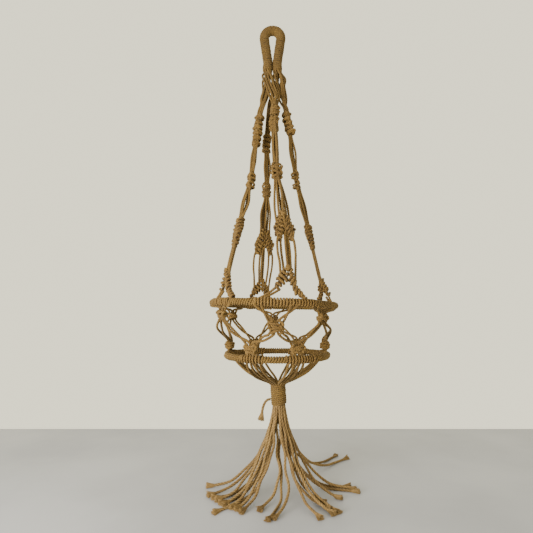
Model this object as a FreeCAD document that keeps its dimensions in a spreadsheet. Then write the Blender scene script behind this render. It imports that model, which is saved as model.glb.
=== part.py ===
import FreeCAD, Part
import math
import os

# Hanging macrame planter: twenty-four jute cords run from a wrapped hanging loop,
# through a neck, down four knotted arms, over two wrapped hoops joined by an open
# net, and in under the lower hoop to a gathering wrap and a loose tassel.
# Millimetres, +Z up.  The origin is where a hook bears, at the top of the inside
# of the hanging loop's eye.  -Y is the front, where the front arm hangs.

os.makedirs("parts", exist_ok=True)
doc = FreeCAD.newDocument("macrame_planter")
Vector = FreeCAD.Vector

DIMENSIONS = [
    # alias, value in mm or degrees, what it is
    ("cord_radius", 2.3, "one jute cord"),
    ("loose_cord_radius", 2.0, "a strand of the tassel"),
    ("snug_cord_radius", 1.8, "a cord pulled tight under the basket"),
    ("bundle_radius", 7.0, "the six cords of one arm, gathered"),
    ("clearance", 0.3, "gap between neighbouring pieces"),
    ("loop_core_radius", 6.7, "cords folded inside the hanging loop"),
    ("loop_wrap_radius", 10.7, "outside of the loop's wrapping"),
    ("loop_bend_radius", 18.2, "centreline of the loop over the hook"),
    ("loop_leg_offset", 10.9, "each leg from the middle, where the wrapping ends"),
    ("loop_length", 87.0, "hook point down to the end of the wrapping"),
    ("neck_top", 92.0, "depth below the hook point"),
    ("neck_bottom", 132.0, "depth below the hook point"),
    ("neck_radius", 22.0, "twenty-four cords, gathered"),
    ("arms_top", 136.0, "depth at which the four arms begin"),
    ("hoop_radius", 2.8, "wire of both hoops"),
    ("hoop_bore_radius", 3.0, "inside of the cord wound round a hoop"),
    ("ring_tube_radius", 6.5, "outside of the cord wound round a hoop"),
    ("hitch_bore_radius", 6.6, "inside of a row of hitches on a ring"),
    ("hitch_tube_radius", 8.0, "outside of a row of hitches on a ring"),
    ("upper_ring_radius", 120.5, "centreline of the upper hoop"),
    ("upper_ring_depth", 590.0, "depth below the hook point"),
    ("upper_ring_offset", 1.0, "middle of the upper ring along X"),
    ("upper_ring_tilt", 1.5, "degrees, its right side hangs lower"),
    ("lower_ring_radius", 96.5, "centreline of the lower hoop"),
    ("lower_ring_depth", 688.0, "depth below the hook point"),
    ("lower_ring_offset", 7.0, "middle of the lower ring along X"),
    ("net_knot_half_width", 16.0, "square knot of the net"),
    ("net_knot_half_height", 12.0, "square knot of the net"),
    ("low_knot_half_height", 10.0, "square knot just above the lower ring"),
    ("net_knot_half_depth", 6.0, "square knot of the net"),
    ("base_end_radius", 14.2, "where the base cords reach the gathering"),
    ("base_end_depth", 739.0, "where the base cords reach the gathering"),
    ("base_belly_radius", 60.0, "middle of a base cord"),
    ("base_belly_depth", 720.0, "middle of a base cord"),
    ("gather_top", 743.0, "top of the gathering wrap"),
    ("gather_bottom", 780.4, "bottom of the gathering wrap"),
    ("gather_core_radius", 12.0, "twenty-four cords inside the wrap"),
    ("gather_wrap_radius", 15.2, "outside of the gathering wrap"),
    ("gather_offset", 11.0, "middle of the gathering along X"),
    ("surface_depth", 930.0, "the surface that the tassel lies on"),
]

dims = doc.addObject("Spreadsheet::Sheet", "Dimensions")
for row, (alias, value, meaning) in enumerate(DIMENSIONS, start=1):
    dims.set(f"A{row}", alias)
    dims.set(f"B{row}", str(value))
    dims.set(f"C{row}", meaning)
    dims.setAlias(f"B{row}", alias)
doc.recompute()

sub_parts = []


def size(alias):
    return float(getattr(dims, alias))


def bind(obj, **aliases):
    """Ties properties of obj to cells of the sheet."""
    for prop, expression in aliases.items():
        obj.setExpression(prop, expression)
    return obj


def cell(alias):
    return f"Dimensions.{alias}"


def sub_part(obj, label):
    """Names obj as one sub-part, which is written to its own file."""
    obj.Label = label
    sub_parts.append(obj)
    return obj


def made_shape(label, shape):
    return sub_part(shape_feature(label, shape), label)


def shape_feature(name, shape):
    feature = doc.addObject("Part::Feature", name)
    feature.Shape = shape
    return feature


def group(label, pieces):
    compound = doc.addObject("Part::Compound", label)
    compound.Links = pieces
    return sub_part(compound, label)


def along(direction):
    """The rotation that turns +Z to a direction."""
    return FreeCAD.Rotation(Vector(0, 0, 1), direction)


def rod(name, start, end, radius_alias):
    """A straight round length of cord, or of several cords gathered."""
    cylinder = doc.addObject("Part::Cylinder", name)
    bind(cylinder, Radius=cell(radius_alias))
    cylinder.Height = (end - start).Length
    cylinder.Placement = FreeCAD.Placement(start, along(end - start))
    return cylinder


def towards(start, end, distance):
    """The point at a distance from start, on the way to end."""
    return start + (end - start).normalize() * distance


def ring_point(ring, azimuth, drop=0.0):
    """A point on a ring's centreline.  Azimuth 0 is the front and 90 the +X side."""
    a = math.radians(azimuth)
    x = size(f"{ring}_ring_radius") * math.sin(a)
    y = -size(f"{ring}_ring_radius") * math.cos(a)
    tilt = size("upper_ring_tilt") if ring == "upper" else 0.0
    z = -size(f"{ring}_ring_depth") - x * math.tan(math.radians(tilt)) - drop
    return Vector(x + size(f"{ring}_ring_offset"), y, z)


# ---------------------------------------------------------------- hanging loop

def loop_centreline():
    """Up one leg, over the hook and down the other, in the XZ plane."""
    bend = size("loop_bend_radius")
    centre_z = size("loop_wrap_radius") - bend
    leg_x, leg_z = size("loop_leg_offset"), -size("loop_length")
    reach = math.hypot(leg_x, leg_z - centre_z)
    swing = math.atan2(leg_z - centre_z, leg_x) + math.acos(bend / reach)
    touch_x = bend * math.cos(swing)
    touch_z = centre_z + bend * math.sin(swing)
    left, right = Vector(-touch_x, 0, touch_z), Vector(touch_x, 0, touch_z)
    top = Vector(0, 0, centre_z + bend)
    return Part.Wire([
        Part.LineSegment(Vector(-leg_x, 0, leg_z), left).toShape(),
        Part.Arc(left, top, right).toShape(),
        Part.LineSegment(right, Vector(leg_x, 0, leg_z)).toShape(),
    ])


def pipe(wire, radius):
    """A round solid of one radius along a wire."""
    start = wire.Edges[0].valueAt(wire.Edges[0].FirstParameter)
    direction = wire.Edges[0].tangentAt(wire.Edges[0].FirstParameter)
    profile = Part.Wire([Part.makeCircle(radius, start, direction)])
    return wire.makePipeShell([profile], True, False)


loop_line = loop_centreline()
made_shape("hanging_loop_core", pipe(loop_line, size("loop_core_radius")))
made_shape("hanging_loop_wrap", pipe(loop_line, size("loop_wrap_radius")).cut(
    pipe(loop_line, size("loop_core_radius") + size("clearance") / 2)))

neck = doc.addObject("Part::Cylinder", "neck_cords")
bind(neck, Radius=cell("neck_radius"),
     Height=f"{cell('neck_bottom')} - {cell('neck_top')}")
neck.Placement.Base = Vector(0, 0, -size("neck_bottom"))
sub_part(neck, "neck_cords")

# ------------------------------------------------------------------------ arms
# top is where an arm leaves the neck, azimuth the way that it faces, and foot the two
# azimuths at which its lowest knot meets the upper ring.  Then come its knots from the
# top down: name, centre, half its length along the arm, half its width and thickness.
ARMS = {
    "front": {"top": (4, -15), "azimuth": 12, "turn": 0, "foot": (-12, 26), "knots": [
        ("berry", (3, -13, -203), 29, 9.5, 8),
        ("square", (6.5, -45, -331), 16, 11, 8),
        ("leaf", (19, -78, -449), 30, 21, 8),
        ("ring", (25, -107, -541), 13, 12, 8)]},
    "left": {"top": (-18, -6), "azimuth": -52, "turn": -20, "foot": (-61, -37), "knots": [
        ("berry", (-31, -9, -228), 35, 10, 9),
        ("square", (-44, -27, -345), 17, 10, 8),
        ("leaf", (-68, -44, -452), 29, 19, 8),
        ("ring", (-86, -64, -542), 14, 12, 8)]},
    "right": {"top": (20, 4), "azimuth": 112, "turn": -30, "foot": (98, 125), "knots": [
        ("berry", (33, 4, -206), 27, 10, 9),
        ("square", (49, 17, -327), 20, 10, 8),
        ("leaf", (79, 30, -448), 27, 19, 8),
        ("ring", (103, 41, -550), 13, 12, 8)]},
    "rear": {"top": (-3, 14), "azimuth": 193, "turn": 0, "foot": (181, 207), "knots": [
        ("berry", (-13, 20, -241), 20, 8.5, 8),
        ("square", (-12.5, 47, -337), 15, 9.5, 8),
        ("leaf", (-18, 79, -448), 28, 25, 8),
        ("ring", (-24, 106, -543), 13, 12, 8)]},
}
RIDGE_STANDOFF = 9.5    # a ridge ends this far from the middle of the ring's wire


def knot(name, centre, direction, azimuth, halves):
    """A plain rounded lump: its length lies along the arm and it faces outward."""
    half_length, half_width, half_thick = halves
    outward = Vector(math.sin(math.radians(azimuth)), -math.cos(math.radians(azimuth)), 0)
    sideways = direction.cross(outward).normalize()
    lump = doc.addObject("Part::Ellipsoid", name)
    lump.Radius1 = half_length
    lump.Radius2 = half_width
    lump.Radius3 = half_thick
    lump.Placement = FreeCAD.Placement(centre, FreeCAD.Rotation(
        sideways, direction.cross(sideways), direction, "ZXY"))
    return lump


def make_arm(arm, plan):
    top = Vector(*plan["top"], -size("arms_top"))
    spans, lumps = [], {}
    last, last_half = top, 0.0
    gap = size("clearance")
    for kind, centre, *halves in plan["knots"]:
        here = Vector(*centre)
        start = towards(last, here, last_half + gap) if spans else top
        spans.append(rod(f"{arm}_span_to_{kind}", start, towards(here, last, halves[0] + gap),
                         "bundle_radius"))
        lumps[kind] = knot(f"{arm}_{kind}_lump", here, (here - last).normalize(),
                           plan["azimuth"] + plan["turn"], halves)
        last, last_half = here, halves[0]
    feet = [ring_point("upper", azimuth) for azimuth in plan["foot"]]
    ridges = [rod(f"{arm}_ridge_{side}", towards(last, foot, last_half),
                  towards(foot, last, RIDGE_STANDOFF), "bundle_radius")
              for side, foot in zip(("a", "b"), feet)]
    group(f"arm_{arm}_cords", spans)
    group(f"arm_{arm}_upper_knots", [lumps["berry"], lumps["square"]])
    sub_part(lumps["leaf"], f"arm_{arm}_leaf_knot")
    group(f"arm_{arm}_ring_knot", [lumps["ring"]] + ridges)


for arm, plan in ARMS.items():
    make_arm(arm, plan)

# ----------------------------------------------------------------------- rings
UPPER_HITCHES = [(10.5, 26), (-53, 14), (111.5, 14), (194, 14)]
NET_UPPER_KNOTS = [(1, 43), (49, 24), (115, 26), (180, 28), (231, 24), (303, 22)]
NET_LOWER_KNOTS = [-29, 20, 98, 150, 208, 256]
LOWER_HITCHES = [(-29, 13), (25, 17), (98, 13), (150, 13), (208, 13), (256, 13)]


def ring_placement(ring, turn=0.0):
    """Lays a ring at its height, and turns it about its own axis first."""
    tilt = size("upper_ring_tilt") if ring == "upper" else 0.0
    lean = FreeCAD.Rotation(Vector(0, 1, 0), tilt)
    return FreeCAD.Placement(
        Vector(size(f"{ring}_ring_offset"), 0, -size(f"{ring}_ring_depth")),
        lean.multiply(FreeCAD.Rotation(Vector(0, 0, 1), turn)))


def torus(name, ring, tube_alias, turn=0.0):
    made = doc.addObject("Part::Torus", name)
    bind(made, Radius1=cell(f"{ring}_ring_radius"), Radius2=cell(tube_alias))
    made.Placement = ring_placement(ring, turn)
    return made


def cut(name, base, tool):
    made = doc.addObject("Part::Cut", name)
    made.Base = base
    made.Tool = tool
    return made


def hitch_sleeve(name, ring, azimuth, half_angle):
    """One row of hitches: a sleeve round part of a ring."""
    sleeves = []
    for side, alias in (("outside", "hitch_tube_radius"), ("bore", "hitch_bore_radius")):
        made = torus(f"{name}_{side}", ring, alias, azimuth - half_angle - 90)
        made.Angle3 = 2 * half_angle
        sleeves.append(made)
    return cut(name, *sleeves)


def make_ring(ring, hitches):
    sub_part(torus(f"{ring}_hoop", ring, "hoop_radius"), f"{ring}_ring_hoop")
    sub_part(cut(f"{ring}_wrap", torus(f"{ring}_wrap_outside", ring, "ring_tube_radius"),
                 torus(f"{ring}_wrap_bore", ring, "hoop_bore_radius")), f"{ring}_ring_wrap")
    group(f"{ring}_ring_hitches", [hitch_sleeve(f"{ring}_hitch_{i}", ring, azimuth, half)
                                   for i, (azimuth, half) in enumerate(hitches, start=1)])


make_ring("upper", UPPER_HITCHES)
make_ring("lower", LOWER_HITCHES)

# ------------------------------------------------------------------------- net
NET_SPLAY = 14          # degrees along the upper ring to each pair of cords
UPPER_KNOT_INSET = 8.0  # the net leans inward below the upper ring
LOWER_KNOT_RISE = 18.8  # lower knots sit just above the lower ring
PAIR_HALF_GAP = 2.6
TOP_PAIR_DROP = 13.2    # the net's top cords start just under the ring's hitches
KNOT_STANDOFF = 19.0    # a cord stops this far from the middle of a knot


def net_knot(name, centre, azimuth, height_alias="net_knot_half_height"):
    lump = knot(name, centre, Vector(0, 0, -1), azimuth, (1, 1, 1))
    return bind(lump, Radius1=cell(height_alias),
                Radius2=cell("net_knot_half_width"), Radius3=cell("net_knot_half_depth"))


def pair(name, start, end, start_trim=0.0):
    """Two cords side by side, from start to just short of a knot at end."""
    middle = (start + end) * 0.5
    outward = Vector(middle.x, middle.y, 0)
    up = (end - start).cross(outward).normalize() * PAIR_HALF_GAP
    return [rod(f"{name}_{side}", towards(start, end, start_trim) + up * sign,
                towards(end, start, KNOT_STANDOFF) + up * sign, "cord_radius")
            for side, sign in (("high", 1), ("low", -1))]


def upper_knot_centre(azimuth, drop):
    point = ring_point("upper", azimuth, drop)
    a = math.radians(azimuth)
    return point + Vector(-UPPER_KNOT_INSET * math.sin(a), UPPER_KNOT_INSET * math.cos(a), 0)


upper_centres = [upper_knot_centre(azimuth, drop) for azimuth, drop in NET_UPPER_KNOTS]
lower_centres = [ring_point("lower", azimuth, -LOWER_KNOT_RISE) for azimuth in NET_LOWER_KNOTS]

upper_cords, middle_cords = [], []
for i, ((azimuth, drop), centre) in enumerate(zip(NET_UPPER_KNOTS, upper_centres)):
    for side in (-1, 1):
        foot = ring_point("upper", azimuth + side * NET_SPLAY, TOP_PAIR_DROP)
        upper_cords += pair(f"net_top_{i}_{side + 1}", foot, centre)
    for side, lower in ((0, lower_centres[i]), (1, lower_centres[(i + 1) % 6])):
        middle_cords += pair(f"net_middle_{i}_{side}", centre, lower, KNOT_STANDOFF)
group("net_upper_cords", upper_cords)
group("net_upper_knots", [net_knot(f"net_upper_knot_{i}", c, az)
                          for i, ((az, _), c) in enumerate(zip(NET_UPPER_KNOTS, upper_centres))])
group("net_middle_cords", middle_cords)
group("net_lower_knots", [net_knot(f"net_lower_knot_{i}", c, az, "low_knot_half_height")
                          for i, (az, c) in enumerate(zip(NET_LOWER_KNOTS, lower_centres))])

# ------------------------------------------------------- base cords, gathering
BASE_CORD_COUNT = 24
BASE_CORD_START_DROP = 9.8


def base_cord(number):
    """From under the lower ring in to the gathering, in one hanging arc."""
    a = 2 * math.pi * number / BASE_CORD_COUNT
    middle = size("lower_ring_offset")
    start_r, belly_r, end_r = (size("lower_ring_radius"), size("base_belly_radius"),
                               size("base_end_radius"))
    stations = [(start_r, size("lower_ring_depth") + BASE_CORD_START_DROP, middle),
                (belly_r, size("base_belly_depth"), middle + 1),
                (end_r, size("base_end_depth"), size("gather_offset") - 2)]
    points = [Vector(x + r * math.sin(a), -r * math.cos(a), -depth)
              for r, depth, x in stations]
    return pipe(Part.Wire([Part.Arc(*points).toShape()]), size("snug_cord_radius"))


made_shape("basket_base_cords",
           Part.makeCompound([base_cord(n) for n in range(BASE_CORD_COUNT)]))

core = doc.addObject("Part::Cylinder", "gathered_cords")
bind(core, Radius=f"{cell('gather_core_radius')} - {cell('clearance')} / 2",
     Height=f"{cell('gather_bottom')} - {cell('base_end_depth')}")
core.Placement.Base = Vector(size("gather_offset") - 1, 0, -size("gather_bottom"))
sub_part(core, "gathered_cords")

wrap_outside = doc.addObject("Part::Cylinder", "gathering_wrap_outside")
wrap_bore = doc.addObject("Part::Cylinder", "gathering_wrap_bore")
for cylinder, alias in ((wrap_outside, "gather_wrap_radius"), (wrap_bore, "gather_core_radius")):
    bind(cylinder, Radius=cell(alias),
         Height=f"{cell('gather_bottom')} - {cell('gather_top')}")
    cylinder.Placement.Base = Vector(size("gather_offset") - 1, 0, -size("gather_bottom"))
sub_part(cut("gathering_wrap_sleeve", wrap_outside, wrap_bore), "gathering_wrap")

# ------------------------------------------------------------------ free cords
# Each route runs from the bottom of the gathered cords out to the strand's cut
# end.  The strands leave in two rings of 15 and 8 round a middle one, and fan
# out over the surface.
STRANDS = [
    [(9, 9.7, -781), (7, 12, -800), (-1, 16, -828), (-15, 18, -858), (-37, 14, -887),
     (-63, 6, -911), (-91, -1, -925), (-127, -3, -928)],
    [(5.2, 8, -781), (2, 9, -800), (-6, 11, -828), (-20, 8, -858), (-39, -1, -887),
     (-61, -15, -911), (-86, -27, -925), (-120, -42, -928)],
    [(8.8, 5.2, -781), (8, 6, -801), (3, 7, -831), (-8, 6, -862), (-24, -2, -892),
     (-43, -16, -914), (-62, -32, -926), (-86, -44, -928), (-111, -52, -928)],
    [(2.4, 5, -781), (0, 5, -800), (-9, 4, -828), (-21, -1, -858), (-37, -14, -887),
     (-56, -31, -911), (-76, -49, -925), (-103, -62, -928)],
    [(5.8, 2.1, -781), (5, 2, -801), (0, 1, -831), (-9, -3, -862), (-22, -13, -892),
     (-37, -28, -914), (-55, -45, -926), (-74, -60, -928), (-95, -72, -928)],
    [(1.2, 1, -781), (-1, 0, -800), (-9, -3, -828), (-19, -10, -858), (-33, -24, -887),
     (-50, -42, -911), (-68, -62, -925), (-88, -79, -928)],
    [(1.6, -3, -781), (-1, -4, -800), (-7, -9, -828), (-16, -17, -858), (-29, -31, -887),
     (-44, -50, -911), (-62, -69, -925), (-81, -88, -928), (-101, -104, -928)],
    [(5.8, -2.1, -781), (5, -3, -801), (1, -5, -831), (-5, -11, -862), (-16, -23, -892),
     (-30, -38, -914), (-46, -57, -926), (-75, -89, -928)],
    [(3.6, -6.6, -781), (2, -9, -800), (-3, -14, -828), (-11, -24, -858), (-21, -38, -887),
     (-35, -58, -911), (-51, -78, -925), (-65, -95, -928)],
    [(7, -9, -781), (6, -11, -800), (2, -18, -828), (-4, -28, -858), (-15, -43, -887),
     (-27, -63, -911), (-42, -84, -925), (-56, -105, -928)],
    [(8.9, -5.2, -781), (8, -6, -801), (7, -10, -831), (8, -18, -862), (9, -32, -892),
     (3, -52, -914), (-10, -73, -926), (-27, -97, -928)],
    [(11, -9.9, -781), (12, -12, -800), (14, -20, -828), (18, -32, -858), (23, -49, -887),
     (24, -72, -911), (14, -98, -925), (-3, -124, -928)],
    [(11, 0, -781), (11, -1, -801), (12, -5, -831), (13, -13, -862), (13, -27, -892),
     (12, -47, -915), (9, -75, -927), (0, -103, -928), (-14, -128, -928)],
    [(15, -9.2, -781), (16, -11, -800), (19, -18, -828), (25, -29, -858), (33, -45, -887),
     (44, -66, -911), (56, -89, -925), (73, -123, -928)],
    [(18.5, -6.6, -781), (20, -9, -800), (25, -14, -828), (33, -24, -858), (43, -38, -887),
     (58, -57, -911), (75, -79, -925), (97, -110, -928)],
    [(13.2, -5.2, -781), (14, -6, -801), (16, -10, -831), (22, -17, -862), (32, -28, -892),
     (46, -43, -914), (65, -61, -926), (92, -95, -928)],
    [(20.6, -2.9, -781), (23, -4, -800), (29, -9, -828), (37, -18, -858), (49, -33, -887),
     (64, -53, -911), (82, -73, -925), (107, -103, -928)],
    [(16.2, -2.1, -781), (17, -3, -801), (21, -5, -831), (28, -11, -862), (38, -22, -892),
     (53, -37, -914), (70, -54, -926), (88, -71, -928)],
    [(20.9, 1.2, -781), (23, 1, -800), (31, -1, -828), (42, -6, -858), (58, -16, -887),
     (78, -30, -911), (99, -44, -925), (120, -54, -928)],
    [(16.2, 2.1, -781), (17, 2, -801), (22, 2, -831), (31, 2, -862), (46, -2, -892),
     (66, -9, -914), (90, -14, -926), (124, -18, -928), (157, -26, -928)],
    [(19.6, 5, -781), (22, 6, -800), (30, 7, -828), (42, 6, -858), (61, 2, -887),
     (85, -4, -911), (112, -9, -925), (154, -13, -928)],
    [(13.2, 5.2, -781), (14, 6, -801), (19, 8, -831), (28, 10, -862), (45, 8, -892),
     (67, 3, -914), (91, -1, -926), (118, -4, -928), (146, -5, -928)],
    [(16.8, 8.1, -781), (19, 10, -800), (25, 17, -828), (36, 28, -858), (55, 44, -887),
     (79, 64, -911), (108, 89, -925), (140, 121, -928), (171, 148, -928)],
    [(13, 9.7, -781), (14, 13, -800), (19, 21, -828), (29, 34, -858), (46, 51, -887),
     (69, 73, -911), (97, 103, -925), (125, 134, -928), (149, 166, -928)],
]
WRAP_TAIL = [(-5.6, -3, -771), (-11, -5, -771), (-17, -7, -777), (-21, -8, -788),
             (-22, -9, -799), (-24, -9, -810)]


def cord_wire(points):
    """Straight runs joined by tangent arcs, each as large as its two runs allow."""
    points = [Vector(*p) for p in points]
    edges, radii, start = [], [], points[0]
    for before, corner, after in zip(points, points[1:], points[2:]):
        into, out = (corner - before), (after - corner)
        half_turn = into.getAngle(out) / 2
        trim = 0.45 * min(into.Length, out.Length)
        radii.append(trim / math.tan(half_turn))
        arc_start = towards(corner, before, trim)
        arc_end = towards(corner, after, trim)
        inward = ((arc_start + arc_end) * 0.5 - corner).normalize()
        middle = corner + inward * (radii[-1] / math.cos(half_turn) - radii[-1])
        edges.append(Part.LineSegment(start, arc_start).toShape())
        edges.append(Part.Arc(arc_start, middle, arc_end).toShape())
        start = arc_end
    edges.append(Part.LineSegment(start, points[-1]).toShape())
    return Part.Wire(edges), radii


def free_cord(label, points):
    wire, radii = cord_wire(points)
    solid = pipe(wire, size("loose_cord_radius"))
    expected = math.pi * size("loose_cord_radius") ** 2 * wire.Length
    print(f"{label}: length {wire.Length:.1f}, smallest radius {min(radii):.1f}, "
          f"volume {solid.Volume / expected:.4f} of section times length")
    if abs(solid.Volume / expected - 1) > 0.01:
        raise RuntimeError(f"{label} has the wrong volume")
    made_shape(label, solid)


for number, route in enumerate(STRANDS, start=1):
    free_cord(f"tassel_strand_{number:02d}", route)
free_cord("wrap_tail", WRAP_TAIL)

# --------------------------------------------------------------- check, export
doc.recompute()
failed = [o.Name for o in doc.Objects if {"Invalid", "Error"} & set(o.State)]
if failed:
    raise RuntimeError(f"failed objects: {failed}")
for obj in sub_parts:
    if obj.Shape.isNull() or not obj.Shape.isValid():
        raise RuntimeError(f"{obj.Label} has no valid shape")
    obj.Shape.exportStep(f"parts/{obj.Label}.step")
print(f"{len(sub_parts)} sub-parts written")
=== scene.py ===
import math
import random

import bpy
import numpy as np
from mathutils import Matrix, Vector


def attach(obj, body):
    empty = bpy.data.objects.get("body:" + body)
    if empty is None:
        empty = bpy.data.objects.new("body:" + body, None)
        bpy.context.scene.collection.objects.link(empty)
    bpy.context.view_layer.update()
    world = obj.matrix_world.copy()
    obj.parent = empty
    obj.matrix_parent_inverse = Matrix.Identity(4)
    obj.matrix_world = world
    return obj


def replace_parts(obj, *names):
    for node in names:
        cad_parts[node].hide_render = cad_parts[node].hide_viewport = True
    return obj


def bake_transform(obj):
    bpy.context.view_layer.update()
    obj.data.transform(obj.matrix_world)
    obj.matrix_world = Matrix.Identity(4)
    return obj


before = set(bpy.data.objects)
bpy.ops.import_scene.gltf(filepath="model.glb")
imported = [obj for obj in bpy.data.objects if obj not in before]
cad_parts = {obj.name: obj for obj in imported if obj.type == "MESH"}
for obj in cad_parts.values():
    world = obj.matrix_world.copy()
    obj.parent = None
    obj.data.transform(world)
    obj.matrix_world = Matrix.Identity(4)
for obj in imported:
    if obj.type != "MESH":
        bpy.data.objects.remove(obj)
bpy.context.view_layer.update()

# Hanging macrame planter.  Routes and sizes below are in millimetres, in the
# frame of the CAD part: +Z up, origin where the hook bears, front towards -Y.
# Every cord is a mesh of three twisted plies that follows a smooth route.
MM = 0.001
CORD = 2.45           # radius of one jute cord
WRAP_CORD = 2.1       # the same cord, pulled tight in a winding
PLIES = 3
LAY = 12.0            # length in which the plies of a cord turn once
SIDES = 12            # of a cord's cross-section
STEP = 1.5            # spacing of the cross-sections along a cord
TURN_STEPS = 16       # points in each turn of a winding
WINDING_STEP = 1.25   # spacing of the cross-sections along a winding
FILLING_SIDES = 20    # of the cross-section of what a winding is wound on
FILLING_GROOVE = 0.25     # a filling's groove attribute, as a share of UNGROOVED; it paints the filling dark as shade
UNGROOVED = 0.8       # the groove attribute of a round cross-section
random.seed(11)
noise = np.random.default_rng(11)


# ------------------------------------------------------------------ cord tools

def point(*xyz):
    return np.array(xyz, float)


def unit(v):
    return v / np.linalg.norm(v)


def polar(radius, azimuth, z, middle=(0.0, 0.0)):
    """Azimuth 0 is the front, 90 the +X side."""
    a = math.radians(azimuth)
    return point(middle[0] + radius * math.sin(a), middle[1] - radius * math.cos(a), z)


def distances(path):
    """How far along the path each of its points lies."""
    return np.concatenate([[0], np.cumsum(np.linalg.norm(np.diff(path, axis=0), axis=1))])


def resampled(path, step=STEP):
    path = np.asarray(path, float)
    length = distances(path)
    count = max(3, int(round(length[-1] / step)) + 1)
    at = np.linspace(0, length[-1], count)
    return np.stack([np.interp(at, length, path[:, k]) for k in range(3)], axis=1)


def smooth(points, step=STEP, cuts=10):
    """A smooth curve through the points, sampled at even steps."""
    p = np.asarray(points, float)
    p = np.vstack([2 * p[0] - p[1], p, 2 * p[-1] - p[-2]])
    t = np.linspace(0, 1, cuts, endpoint=False)[:, None]
    curve = [0.5 * (2 * b + (c - a) * t + (2 * a - 5 * b + 4 * c - d) * t ** 2
                    + (3 * b - a - 3 * c + d) * t ** 3)
             for a, b, c, d in zip(p, p[1:], p[2:], p[3:])]
    return resampled(np.vstack(curve + [p[-2:-1]]), step)


def carried_frames(path):
    """Tangent, and two sides that turn as little as they can, along a path."""
    tangents = np.gradient(path, axis=0)
    tangents /= np.linalg.norm(tangents, axis=1)[:, None]
    side = np.cross(tangents[0], (0.3, 0.5, 0.8))
    sides = []
    for t in tangents:
        side = side - t * side.dot(t)
        side = side / math.sqrt(side.dot(side))
        sides.append(side)
    sides = np.array(sides)
    return tangents, sides, np.cross(tangents, sides)


class Yarn:
    """Gathers cords into one mesh, with the attributes that its material reads."""

    def __init__(self):
        self.verts, self.faces, self.count = [], [], 0
        self.along, self.around, self.groove, self.tint = [], [], [], []

    def tube(self, path, radii, angles, shape, tint, wound=False):
        """A closed tube whose sections have the given shape, turned by angles.

        On a wound cord, groove also falls away from the outside of each turn, which paints shade into
        the crevices between turns."""
        _, side, other = carried_frames(path)
        sides = len(shape)
        theta = angles[:, None] + np.linspace(0, 2 * math.pi, sides, endpoint=False)
        r = radii[:, None] * shape[None, :]
        aside = (np.cos(theta)[..., None] * side[:, None, :]
                 + np.sin(theta)[..., None] * other[:, None, :])
        rings = path[:, None, :] + r[..., None] * aside
        rows = len(path)
        length = distances(path)
        index = self.count + np.arange(rows * sides).reshape(rows, sides)
        a, b = index[:-1], index[1:]
        quads = np.stack([a, np.roll(a, -1, 1), np.roll(b, -1, 1), b], axis=-1).reshape(-1, 4)
        self.faces += quads.tolist()
        self.faces += [index[0, ::-1].tolist(), index[-1].tolist()]
        self.verts.append(rings.reshape(-1, 3))
        self.count += rows * sides
        self.along.append(np.repeat(length, sides))
        self.around.append(np.tile(np.arange(sides) / sides, rows))
        # groove carries painted shade: it is low in the hollows between a cord's plies
        plain = np.ptp(shape) < 1e-6
        height = np.full(sides, UNGROOVED) if plain else (shape - shape.min()) / np.ptp(shape)
        height = np.tile(height, (rows, 1))
        # painted shade: the sides of each turn, where it meets the next turn, are darkened
        if wound:
            outward = -np.gradient(np.gradient(path, axis=0), axis=0)
            outward /= np.maximum(np.linalg.norm(outward, axis=1), 1e-9)[:, None]
            facing_out = (aside * outward[:, None, :]).sum(axis=2)
            height = height * np.clip(1.5 * facing_out - 0.1, 0, 1)
        self.groove.append(height.ravel())
        self.tint.append(np.full(rows * sides, tint))

    def cord(self, path, radius=CORD, lay=LAY, wound=False, tint=None):
        """A twisted cord of three plies along a path."""
        phase = random.uniform(0, 2 * math.pi)
        length = distances(path)
        wobble = 0.25 * np.sin(length / 17.0 + phase)
        angles = phase + 2 * math.pi * length / lay + wobble
        around = np.linspace(0, 2 * math.pi, SIDES, endpoint=False)
        shape = 0.76 + 0.26 * np.abs(np.cos(PLIES * around / 2)) ** 0.7
        radii = radius * (1 + 0.035 * np.sin(length / 6.5 + 2 * phase))
        tint = random.random() if tint is None else tint
        self.tube(path, radii, angles, shape, tint, wound)

    def filling(self, line, radius, inset=0.0):
        """What a winding is wound on, painted dark as the shade between the turns and seen only there.
        """
        total, _ = line(None)
        path = np.array([line(s)[0] for s in np.linspace(inset, total - inset, int(total))])
        self.tube(path, np.full(len(path), radius), np.zeros(len(path)), np.ones(FILLING_SIDES), 0.0)
        # painted shade: the filling is darkened as the shade seen between a winding's turns
        self.groove[-1] *= FILLING_GROOVE

    def fibre(self, path, radius, tint=None, tip=0.35):
        """One hair-thin fibre, three-sided and tapering to its tip."""
        radii = radius * np.linspace(1, tip, len(path))
        self.tube(path, radii, np.zeros(len(path)), np.ones(3),
                  random.random() if tint is None else tint)

    def piece(self, name, material):
        mesh = bpy.data.meshes.new(name)
        mesh.from_pydata(np.vstack(self.verts) * MM, [], self.faces)
        for attribute, values in (("along", self.along), ("around", self.around),
                                  ("groove", self.groove), ("tint", self.tint)):
            data = mesh.attributes.new(attribute, "FLOAT", "POINT").data
            data.foreach_set("value", np.concatenate(values).astype(np.float32))
        mesh.polygons.foreach_set("use_smooth", np.ones(len(mesh.polygons), bool))
        mesh.materials.append(material)
        made = bpy.data.objects.new(name, mesh)
        bpy.context.scene.collection.objects.link(made)
        return made


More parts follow.
